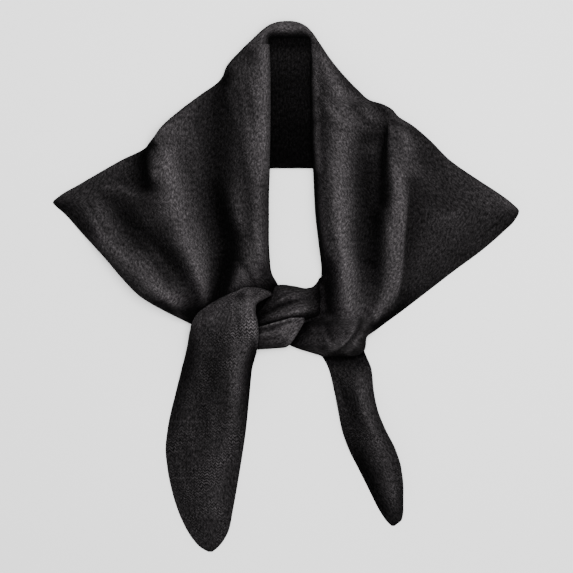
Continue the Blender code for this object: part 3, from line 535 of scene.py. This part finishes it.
def end_share(table, at):
    """Share of the full height near an end of the stretch that is rounded off."""
    share = np.ones_like(at)
    for end, key in ((at.min(), "first_end_radius"), (at.max(), "last_end_radius")):
        if key in table:
            depth = np.clip(np.abs(at - end) / table[key], 0.0, 1.0)
            share = share * np.sqrt(1.0 - (1.0 - depth) ** 2)
    return share


def sections_of(table, spacing):
    """Places of a stretch's sections: evenly spaced, and closer where an end is rounded off."""
    first, last = table["low_edge"][0][0], table["low_edge"][-1][0]
    count = int(round(abs(last - first) / spacing))
    places = list(np.linspace(first, last, count + 1))
    if "first_end_radius" in table:
        places += [min(first, last) + depth for depth in END_DEPTHS]
    if "last_end_radius" in table:
        places += [max(first, last) - depth for depth in END_DEPTHS]
    return np.array(sorted(places, reverse=last < first))


def raised(x, y, folds, edge, relief, ends=1.0, creases=()):
    """The cloth over a plan: its outer face as a grid of points, what it lies on, the height for its painted
    shade.
    """
    base = relief.at(x, y)
    base = base + np.minimum(base, GAP)
    full, lean_right = folds.at(x, y)
    for crease in creases:
        full = full + crease_depth(crease, x, y)
    over = full - base - CLOTH
    full = base + CLOTH + 0.5 * (over + np.hypot(over, SOFT_REST))
    share = edge.share(x, y) * ends
    # height that the painted light and shade is read from
    shade_height = base + (full - base) * edge.share(x, y, shade_height=True) * ends
    return np.stack([x + lean_right * share, y, base + (full - base) * share], axis=-1), base, shade_height


def crease_depth(crease, x, y):
    """Height that one soft trough or ridge adds: it runs from one place to another, a little bowed."""
    x0, y0, x1, y1, bow, width, depth = crease
    length = math.hypot(x1 - x0, y1 - y0)
    ux, uy = (x1 - x0) / length, (y1 - y0) / length
    t = np.clip(((x - x0) * ux + (y - y0) * uy) / length, 0.0, 1.0)
    cx = x0 + ux * length * t - uy * bow * 4.0 * t * (1.0 - t)
    cy = y0 + uy * length * t + ux * bow * 4.0 * t * (1.0 - t)
    away = np.hypot(x - cx, y - cy) / (width * (CREASE_TIP + CREASE_SWELL * t * (1.0 - t)))
    fade = np.sin(np.pi * np.clip(t, CREASE_END, 1.0 - CREASE_END)) ** 0.5
    return depth * np.exp(-away ** 2) * fade


def normals(points):
    """Unit normals of a grid of points, pointing up on the whole."""
    down, across = np.gradient(points, axis=0), np.gradient(points, axis=1)
    normal = np.cross(across, down)
    normal /= np.maximum(np.linalg.norm(normal, axis=-1, keepdims=True), 1e-9)
    if normal[..., 2].mean() < 0.0:
        normal = -normal
    return normal


def metric(points, anchor):
    """Distance across the cloth from an anchor column, and along it: the cloth's own coordinates."""
    across = np.linalg.norm(np.diff(points, axis=1), axis=-1)
    u = np.concatenate([np.zeros((len(points), 1)), np.cumsum(across, axis=1)], axis=1)
    u -= u[:, anchor:anchor + 1]
    for _ in range(EVEN_ROWS):
        u[1:-1] = (u[:-2] + 2.0 * u[1:-1] + u[2:]) / 4.0
    down = np.linalg.norm(np.diff(points[:, anchor], axis=0), axis=-1)
    v = np.concatenate([[0.0], np.cumsum(down)])
    return u, np.repeat(v[:, None], points.shape[1], axis=1)


def shell(name, points, base, full, anchor, knit):
    """A closed shell of cloth, its outer face on the grid of points and its inner one CLOTH inside.

    Gives the piece, and the height for its painted light and shade at each of its vertices.
    """
    normal = normals(points)
    u, v = metric(points, anchor)
    inner = points - normal * CLOTH
    inner[..., 2] = np.maximum(inner[..., 2], base)
    above = np.clip((points[..., 2] - base) / CLOTH, 0.0, 1.0)
    ribs = 0.5 + 0.5 * np.cos(2.0 * np.pi * u / WALE)
    outer = points + normal * (ribs * knit * above)[..., None]
    rows, columns = points.shape[:2]
    coarse_rows = sorted({*range(0, rows, UNDER_STEP), rows - 1})
    coarse_columns = sorted({*range(0, columns, UNDER_STEP), columns - 1})
    coarse = np.ix_(coarse_rows, coarse_columns)
    vertices = np.concatenate([outer.reshape(-1, 3), inner[coarse].reshape(-1, 3)])
    vertices[:, 1] -= MID_Y
    top = np.arange(rows * columns).reshape(rows, columns)
    low = np.arange(top.size, len(vertices)).reshape(len(coarse_rows), len(coarse_columns))
    quads = [np.stack([top[:-1, :-1], top[1:, :-1], top[1:, 1:], top[:-1, 1:]], axis=-1).reshape(-1, 4),
             np.stack([low[:-1, :-1], low[:-1, 1:], low[1:, 1:], low[1:, :-1]], axis=-1).reshape(-1, 4)]
    faces = np.concatenate(quads).tolist()
    for k, (a, b) in enumerate(zip(coarse_columns, coarse_columns[1:])):
        faces.append([*top[0, a:b + 1], low[0, k + 1], low[0, k]])
        faces.append([*top[-1, a:b + 1][::-1], low[-1, k], low[-1, k + 1]])
    for k, (a, b) in enumerate(zip(coarse_rows, coarse_rows[1:])):
        faces.append([*top[a:b + 1, 0][::-1], low[k, 0], low[k + 1, 0]])
        faces.append([*top[a:b + 1, -1], low[k + 1, -1], low[k, -1]])
    mesh = bpy.data.meshes.new(name)
    mesh.from_pydata((vertices * MM).tolist(), [], faces)
    mesh.update()
    if signed_volume(mesh) < 0.0:
        mesh.flip_normals()
    mesh.shade_smooth()
    cloth_u, cloth_v, shade_height = (np.concatenate([grid.ravel(), grid[coarse].ravel()]) for grid in (u, v, full))
    corners = np.empty(len(mesh.loops), np.int32)
    mesh.loops.foreach_get("vertex_index", corners)
    layer = mesh.uv_layers.new(name="cloth")
    layer.data.foreach_set("uv", np.stack([cloth_u[corners], cloth_v[corners]], axis=-1).ravel() * MM)
    return add_object(name, mesh), shade_height


def add_object(name, data):
    """A new object in the scene."""
    added = bpy.data.objects.new(name, data)
    bpy.context.scene.collection.objects.link(added)
    return added


def signed_volume(mesh):
    """Volume inside a closed mesh, negative where its faces point in."""
    mesh.calc_loop_triangles()
    corners = np.empty(len(mesh.loop_triangles) * 3, np.int32)
    mesh.loop_triangles.foreach_get("vertices", corners)
    places = np.empty(len(mesh.vertices) * 3)
    mesh.vertices.foreach_get("co", places)
    a, b, c = np.moveaxis(places.reshape(-1, 3)[corners].reshape(-1, 3, 3), 1, 0)
    return float(np.einsum("ij,ij->i", a, np.cross(b, c)).sum() / 6.0)


def set_painted_shading(piece, full, overview, nearby, reach, level, stitches, by_y=None):
    """Painted light and shade: from 0, dark in a trough, to 1, light on a ridge, as each point stands out of
    the cloth round it.
    """
    count = len(piece.data.vertices)
    places = np.empty(count * 3)
    piece.data.vertices.foreach_get("co", places)
    x, y = (places.reshape(-1, 3)[:, :2] / MM).T
    wide, near = overview.at(x, y + MID_Y), nearby.at(x, y + MID_Y)
    crease = np.clip((full - near) / CREASE_SHADE_REACH, *CREASE_SHADE_RANGE)
    painted_shading = ease(level + (full - wide) / reach + crease)
    if by_y is not None:
        painted_shading = curve(by_y, 1, y + MID_Y)
    for name, values in (("painted_shading", painted_shading), ("stitches", np.full(count, stitches))):
        attribute = piece.data.attributes.new(name, "FLOAT", "POINT")
        attribute.data.foreach_set("value", values.astype(np.float32))


def smoothed(relief, radius):
    """The relief blurred over a distance, counting only where there is cloth."""
    mask = (relief.top > LEAST_CLOTH).astype(float)
    total, weight = relief.top * mask, mask.copy()
    for _ in range(BLUR_PASSES):
        for axis in (0, 1):
            for field in (total, weight):
                border = [(0, 0), (0, 0)]
                border[axis] = (radius, radius + 1)
                sums = np.cumsum(np.pad(field, border, mode="edge"), axis=axis)
                ahead = np.take(sums, np.arange(2 * radius, 2 * radius + relief.size), axis=axis)
                behind = np.take(sums, np.arange(0, relief.size), axis=axis)
                field[:] = (ahead - behind) / (2 * radius)
    result = Relief()
    result.top = total / np.maximum(weight, 1e-3)
    return result


def back_points():
    """The back and its turned-up point: one sheet, folded over at the bottom of the neck opening."""
    reach = np.arange(-BACK_HALF_WIDTH, BACK_HALF_WIDTH + 0.01, BACK_STEP)
    fold = np.interp(reach, *zip(*BACK_FOLD))
    left, right = FRONT_LEFT["low_edge"], FRONT_RIGHT["high_edge"]
    outline = [(curve(left, 1, y), y, BACK_INSET) for y in np.arange(*LEFT_SHOULDER_Y)]
    outline += [(curve(right, 1, y), y, BACK_INSET) for y in np.arange(*RIGHT_SHOULDER_Y)]
    outline += [(row[0], row[1], NECK_INSET) for row in NECK_ROLL[1:-1]]
    over_x, over_y, inset = np.array(outline).T
    side = over_x - reach[:, None]
    drop = np.sqrt(np.maximum(inset ** 2 - side ** 2, 0.0))
    tops = np.where(np.abs(side) < inset, over_y - drop, BACK_TOP_Y)
    head = np.maximum(np.minimum(tops.min(axis=1), BACK_TOP_Y), fold + BACK_LEAST)
    radius = BACK_PLIES / 2.0
    ply = [fold + radius + (head - fold - radius) * share for share in np.linspace(1.0, 0.0, BACK_ROWS)[:-1]]
    rows = [(y, 0.0) for y in ply]
    rows += [(fold + radius * (1 - math.sin(a)), radius * (1 - math.cos(a)))
             for a in np.linspace(0.0, math.pi, BACK_TURN_ROWS)]
    rows += [(y, BACK_PLIES) for y in ply[::-1]]
    return np.stack([np.stack([reach, y, np.full_like(reach, z)], axis=-1) for y, z in rows])


def neck_sides(count):
    """Outer and inner edge of the roll over the neck, its height and its turn, at places along it."""
    numbered = [(k / (len(NECK_ROLL) - 1.0), *row) for k, row in enumerate(NECK_ROLL)]
    at = np.linspace(0.0, 1.0, count)
    outer_x, outer_y, inner_x, inner_y, height, turn = (curve(numbered, k, at) for k in range(1, 7))
    return np.stack([outer_x, outer_y], axis=-1), np.stack([inner_x, inner_y], axis=-1), height, turn


def neck_plan():
    """Places of the roll over the neck, carried round from one front's end to the other's."""
    outer, inner = neck_sides(NECK_SECTIONS)[:2]
    turned = (1.0 - np.cos(np.radians(QUARTER))) * NECK_TURN_SHARE
    middle = np.linspace(NECK_TURN_SHARE, 1.0 - NECK_TURN_SHARE, NECK_MIDDLE)[1:-1]
    shares = np.concatenate([turned, middle, 1.0 - turned[::-1]])
    places = outer[:, None] + (inner - outer)[:, None] * shares[None, :, None]
    return places[..., 0], places[..., 1]


def neck_edges(edge):
    """Follow the two edges of the roll over the neck."""
    outer, inner, height, turn = neck_sides(NECK_EDGE_PLACES)
    for places, over, softer in ((outer, inner - outer, 1.0), (inner, outer - inner, NECK_UNDER)):
        along = np.gradient(places, axis=0)
        square = np.stack([along[:, 1], -along[:, 0]], axis=-1)
        square *= np.sign((square * over).sum(axis=1, keepdims=True))
        edge.follow(places, height, turn * softer, square / np.linalg.norm(square, axis=1, keepdims=True))


# ---- the wool, where scales are in cells a metre
WANDER_SCALE = 55.0
WANDER = 2.6              # how far the columns and rows of stitches wander, in stitches
LEG_SLANT = 1.5           # how steeply the two legs of a stitch slant
LEG_RIM = 0.7             # relief of a leg at its rims, where its middle has 1
GRAIN_SCALE = 520.0
GRAIN_STRETCH = 0.5       # the grain is twice as long along the columns as across
FUZZ_ROUGHNESS = 0.65
HEATHER_ROUGHNESS = 0.8
HEATHER_CONTRAST = 3.0
PATCH_SCALE = 42.0        # patches where the stitches are clearer and the wool is lighter
PATCH_CLEARNESS = (6.0, -2.4, 0.15)   # of the stitches there: factor, base and least
PATCH_SHADE = (0.7, 0.65)   # of the wool there: factor and base
PLAIN_SHADE = 0.9         # where no stitch shows
LEAST_SHADE = 0.15
BUMP_DEPTH = 0.0007       # metres
STITCH_BUMP = 0.6
FUZZ_BUMP = 1.1


def knit_material(name):
    """Brushed wool: plain stitches under a soft brushed fuzz, with painted light and shade: lighter where
    the cloth stands out.
    """
    material = bpy.data.materials.new(name)
    material.use_nodes = True
    nodes, links = material.node_tree.nodes, material.node_tree.links
    shader = nodes["Principled BSDF"]
    shader.inputs["Roughness"].default_value = 0.95
    shader.inputs["Specular IOR Level"].default_value = 0.0
    shader.inputs["Sheen Weight"].default_value = 0.004
    shader.inputs["Sheen Roughness"].default_value = 0.6

    def math_node(kind, first, second=None, third=None):
        node = nodes.new("ShaderNodeMath")
        node.operation = kind
        for k, value in enumerate((first, second, third)):
            if isinstance(value, (int, float)):
                node.inputs[k].default_value = value
            elif value is not None:
                links.new(value, node.inputs[k])
        return node.outputs["Value"]

    def noise(place, scale, detail=2.0, roughness=0.5):
        node = nodes.new("ShaderNodeTexNoise")
        node.inputs["Scale"].default_value = scale
        node.inputs["Detail"].default_value = detail
        node.inputs["Roughness"].default_value = roughness
        links.new(place, node.inputs["Vector"])
        return node.outputs["Fac"]

    cloth = nodes.new("ShaderNodeUVMap")
    cloth.uv_map = "cloth"
    place = nodes.new("ShaderNodeTexCoord").outputs["Object"]
    wander = math_node("MULTIPLY", noise(place, WANDER_SCALE), WANDER)
    parts = nodes.new("ShaderNodeSeparateXYZ")
    links.new(cloth.outputs["UV"], parts.inputs["Vector"])
    across = math_node("MULTIPLY_ADD", parts.outputs["X"], 1.0 / (WALE * MM), wander)
    along = math_node("MULTIPLY_ADD", parts.outputs["Y"], 1.0 / (COURSE * MM), wander)
    side = math_node("ABSOLUTE", math_node("SUBTRACT", math_node("FRACT", across), 0.5))
    arch = math_node("SINE", math_node("MULTIPLY", side, 2.0 * math.pi))
    leg = math_node("MULTIPLY_ADD", arch, 1.0 - LEG_RIM, LEG_RIM)
    slanted = math_node("MULTIPLY_ADD", side, LEG_SLANT, along)
    beat = math_node("SINE", math_node("MULTIPLY", slanted, 2.0 * math.pi))
    stitch = math_node("MULTIPLY", leg, math_node("MULTIPLY_ADD", beat, 0.5, 0.5))

    squeezed = nodes.new("ShaderNodeMapping")
    squeezed.inputs["Scale"].default_value = (1.0, GRAIN_STRETCH, 1.0)
    links.new(cloth.outputs["UV"], squeezed.inputs["Vector"])
    fuzz = noise(squeezed.outputs["Vector"], GRAIN_SCALE, 3.0, FUZZ_ROUGHNESS)
    heather = noise(squeezed.outputs["Vector"], GRAIN_SCALE, 3.0, HEATHER_ROUGHNESS)
    patches = noise(place, PATCH_SCALE, 3.0)

    # painted light and shade: the ramp below paints troughs dark and ridges light
    painted_shading = nodes.new("ShaderNodeAttribute")
    painted_shading.attribute_name = "painted_shading"
    tone = nodes.new("ShaderNodeValToRGB")
    ramp = tone.color_ramp
    for position, shade in PAINTED_SHADE_TONES:
        there = [element for element in ramp.elements if abs(element.position - position) < 0.001]
        element = there[0] if there else ramp.elements.new(position)
        element.color = (shade * TINT[0], shade * TINT[1], shade * TINT[2], 1.0)
    links.new(painted_shading.outputs["Fac"], tone.inputs["Fac"])

    heathered = math_node("POWER", math_node("MULTIPLY", heather, 2.0), HEATHER_CONTRAST)
    shown = nodes.new("ShaderNodeAttribute")
    shown.attribute_name = "stitches"
    factor, base, least = PATCH_CLEARNESS
    clear = math_node("MAXIMUM", math_node("MULTIPLY_ADD", patches, factor, base), least)
    depth = math_node("MULTIPLY", shown.outputs["Fac"], clear)
    raised_part = math_node("SUBTRACT", stitch, STITCH_MEAN)
    knitted = math_node("MULTIPLY", heathered, math_node("MULTIPLY_ADD", raised_part, depth, PLAIN_SHADE))
    patched = math_node("MULTIPLY", knitted, math_node("MULTIPLY_ADD", patches, *PATCH_SHADE))
    shaded = nodes.new("ShaderNodeVectorMath")
    shaded.operation = "SCALE"
    links.new(tone.outputs["Color"], shaded.inputs["Vector"])
    links.new(math_node("MAXIMUM", patched, LEAST_SHADE), shaded.inputs["Scale"])
    links.new(shaded.outputs["Vector"], shader.inputs["Base Color"])

    bump = nodes.new("ShaderNodeBump")
    bump.inputs["Strength"].default_value = 1.0
    bump.inputs["Distance"].default_value = BUMP_DEPTH
    fuzzy = math_node("MULTIPLY", fuzz, FUZZ_BUMP)
    links.new(math_node("MULTIPLY_ADD", stitch, STITCH_BUMP, fuzzy), bump.inputs["Height"])
    links.new(bump.outputs["Normal"], shader.inputs["Normal"])
    return material


# ---- the pieces
relief, faces = Relief(), Relief()
made = {}


def lay(name, points, base, full, anchor, knit=0.0, spread=2):
    """Make one stretch, and add it to the heights that the next ones lie on.

    Its stitches are counted from the anchor, a column of its points.
    """
    relief.lay(points, spread)
    faces.lay(np.concatenate([points[..., :2], full[..., None]], axis=-1), 0)
    made[name] = shell(name + "_cloth", points, base, full, anchor, knit)


def lay_stretch(name, table, folds, edges, anchor, along_x=False, spacing=SPACING, knit=0.0):
    """A stretch from its table, over what is laid already."""
    at = sections_of(table, spacing)
    across = section_places(table, at, spacing)
    along = np.repeat(at[:, None], across.shape[1], axis=1)
    x, y = (along, across) if along_x else (across, along)
    ends = end_share(table, at)[:, None]
    lay(name, *raised(x, y, folds, edges, relief, ends, CREASES.get(name, ())), anchor, knit)


def lay_strip(name, table, anchor, along_x=False):
    """A tail or a band, with edges and folds of its own, fine enough for its stitches."""
    edges = Edge()
    edges.add_sides(table, along_x)
    folds = Folds(table["lines"].values(), edges, along_x)
    lay_stretch(name, table, folds, edges, anchor, along_x, FINE_SPACING, STITCH_DEPTH)


# the two fronts and the roll over the neck pass into each other, so they share their edges and folds
front_edges = Edge()
front_edges.add_sides(FRONT_LEFT)
front_edges.add_sides(FRONT_RIGHT)
neck_edges(front_edges)
front_folds = Folds([*FRONT_LEFT["lines"].values(), *FRONT_RIGHT["lines"].values()], front_edges)

back = back_points()
lay("back", back, np.zeros(back.shape[:2]), back[..., 2], anchor=100, spread=3)
relief.drape(DRAPE_SLOPE)
lay_strip("tail_right", TAIL_RIGHT, anchor=30)
lay_stretch("front_left", FRONT_LEFT, front_folds, front_edges, anchor=200)
lay_strip("band_upper", BAND_UPPER, anchor=30, along_x=True)
lay_stretch("front_right", FRONT_RIGHT, front_folds, front_edges, anchor=60)
lay_strip("band_lower", BAND_LOWER, anchor=20, along_x=True)
lay_strip("tail_left", TAIL_LEFT, anchor=60)
lay("neck_roll", *raised(*neck_plan(), front_folds, front_edges, Relief()), anchor=22)

KNIT = knit_material("knit")
# painted light and shade of each piece, from how far it stands out of the cloth round it
overview, nearby = smoothed(faces, WIDE_BLUR), smoothed(faces, FINE_BLUR)
for node, (piece, full) in made.items():
    reach, level, stitches = SHADE_AND_STITCHES_OF.get(node, (SHADE_REACH, LEVEL_LIGHT, STITCHES))
    set_painted_shading(piece, full, overview, nearby, reach, level, stitches, BACK_PAINTED_SHADE if node == "back" else None)
    piece.data.materials.append(KNIT)
    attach(piece, "root")
    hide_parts(node)
    print(node, "triangles", sum(len(face.vertices) - 2 for face in piece.data.polygons))


# ---- floor, light, camera
def floor():
    """The plain light surface that the scarf lies on."""
    bpy.ops.mesh.primitive_plane_add(size=8.0, location=(0.0, 0.0, 0.0))
    plane = bpy.context.object
    plane.name = "floor"
    material = bpy.data.materials.new("floor")
    material.use_nodes = True
    shader = material.node_tree.nodes["Principled BSDF"]
    shader.inputs["Base Color"].default_value = (0.93, 0.93, 0.93, 1.0)
    shader.inputs["Roughness"].default_value = 1.0
    shader.inputs["Specular IOR Level"].default_value = 0.0
    plane.data.materials.append(material)
    plane.select_set(False)


def soft_light(name, size, power, place):
    """A square light that faces the scarf."""
    data = bpy.data.lights.new(name, "AREA")
    data.shape = "SQUARE"
    data.size = size
    data.energy = power
    light = add_object(name, data)
    light.location = place
    way = -np.array(place)
    light.rotation_euler = (math.acos(way[2] / np.linalg.norm(way)) - math.pi, 0.0,
                            math.atan2(way[1], way[0]) - math.pi / 2.0)


floor()
soft_light("overhead", size=1.4, power=60.0, place=(0.25, 0.35, 1.6))
world = bpy.data.worlds.new("studio")
world.use_nodes = True
world.node_tree.nodes["Background"].inputs["Color"].default_value = (1.0, 1.0, 1.0, 1.0)
world.node_tree.nodes["Background"].inputs["Strength"].default_value = 0.8
bpy.context.scene.world = world

PHOTO_WIDTH = 0.573     # what the photo's frame covers, at the height of the folds
FOLD_HEIGHT = 0.01
LENS_HEIGHT = 2.4
LENS_X = 0.0005
SENSOR_WIDTH = 36.0     # millimetres
camera_data = bpy.data.cameras.new("camera")
camera_data.sensor_width = SENSOR_WIDTH
camera_data.lens = SENSOR_WIDTH * (LENS_HEIGHT - FOLD_HEIGHT) / PHOTO_WIDTH
camera = add_object("camera", camera_data)
camera.location = (LENS_X, 0.0, LENS_HEIGHT)
bpy.context.scene.camera = camera
